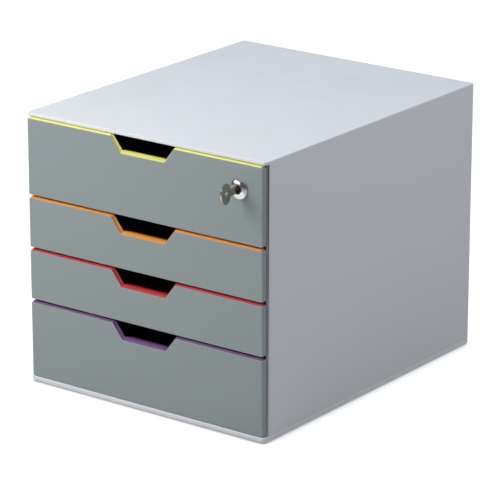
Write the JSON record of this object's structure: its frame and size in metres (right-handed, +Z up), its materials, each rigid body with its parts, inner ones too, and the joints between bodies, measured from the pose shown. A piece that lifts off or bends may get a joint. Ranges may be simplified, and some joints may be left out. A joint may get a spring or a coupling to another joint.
{
  "type": "desktop file drawer unit",
  "caption": "Light grey desktop case with full-width grey drawers for A4 and C4 papers, coloured finger grips and a cam lock with its key in the top drawer.",
  "frame": {"origin": "on the floor, under the middle of the bounding box of the whole unit with its key in the lock", "axes": "+X to the right as seen from the front, +Y from the drawer fronts to the back panel, +Z up"},
  "size_m": [0.292, 0.384, 0.28],
  "materials": {
    "case_grey": "fine satin texture",
    "front_grey": "fine satin texture",
    "tray_grey": "matt moulding",
    "trim_yellow": "satin moulding",
    "trim_orange": "satin moulding",
    "trim_red": "satin moulding",
    "trim_purple": "satin moulding",
    "foot_rubber": "matt",
    "chrome": "polished plating",
    "steel": "plain zinc plated steel"
  },
  "bodies": {
    "case": {"housing_shell": "case_grey", "base_panel": "case_grey", "back_panel": "case_grey", "foot_front_left": "foot_rubber", "foot_front_right": "foot_rubber", "foot_back_left": "foot_rubber", "foot_back_right": "foot_rubber", "runner_panel_left": "tray_grey", "runner_panel_right": "tray_grey", "lock_strike": "steel"},
    "drawer_1": {"drawer_1_front": "front_grey", "drawer_1_trim": "trim_yellow", "drawer_1_tray": "tray_grey", "lock_barrel": "chrome", "lock_nut": "steel"},
    "drawer_2": {"drawer_2_front": "front_grey", "drawer_2_trim": "trim_orange", "drawer_2_tray": "tray_grey"},
    "drawer_3": {"drawer_3_front": "front_grey", "drawer_3_trim": "trim_red", "drawer_3_tray": "tray_grey"},
    "drawer_4": {"drawer_4_front": "front_grey", "drawer_4_trim": "trim_purple", "drawer_4_tray": "tray_grey"},
    "lock": {"lock_plug": "chrome", "lock_cam": "steel", "cam_screw": "steel"},
    "key": {"key": "steel"}
  },
  "joints": [
    {"name": "drawer_1_slide", "type": "slide", "parent": "case", "child": "drawer_1", "axis": [0, -1, 0], "range_m": [0, 0.25]},
    {"name": "drawer_2_slide", "type": "slide", "parent": "case", "child": "drawer_2", "axis": [0, -1, 0], "range_m": [0, 0.25]},
    {"name": "drawer_3_slide", "type": "slide", "parent": "case", "child": "drawer_3", "axis": [0, -1, 0], "range_m": [0, 0.25]},
    {"name": "drawer_4_slide", "type": "slide", "parent": "case", "child": "drawer_4", "axis": [0, -1, 0], "range_m": [0, 0.25]},
    {"name": "lock_turn", "type": "hinge", "parent": "drawer_1", "child": "lock", "pos_m": [0.1165, -0.164, 0.25], "axis": [0, 1, 0], "range_deg": [0, 90]},
    {"name": "key_pull", "type": "slide", "parent": "lock", "child": "key", "axis": [0, -1, 0], "range_m": [0, 0.018]}
  ]
}
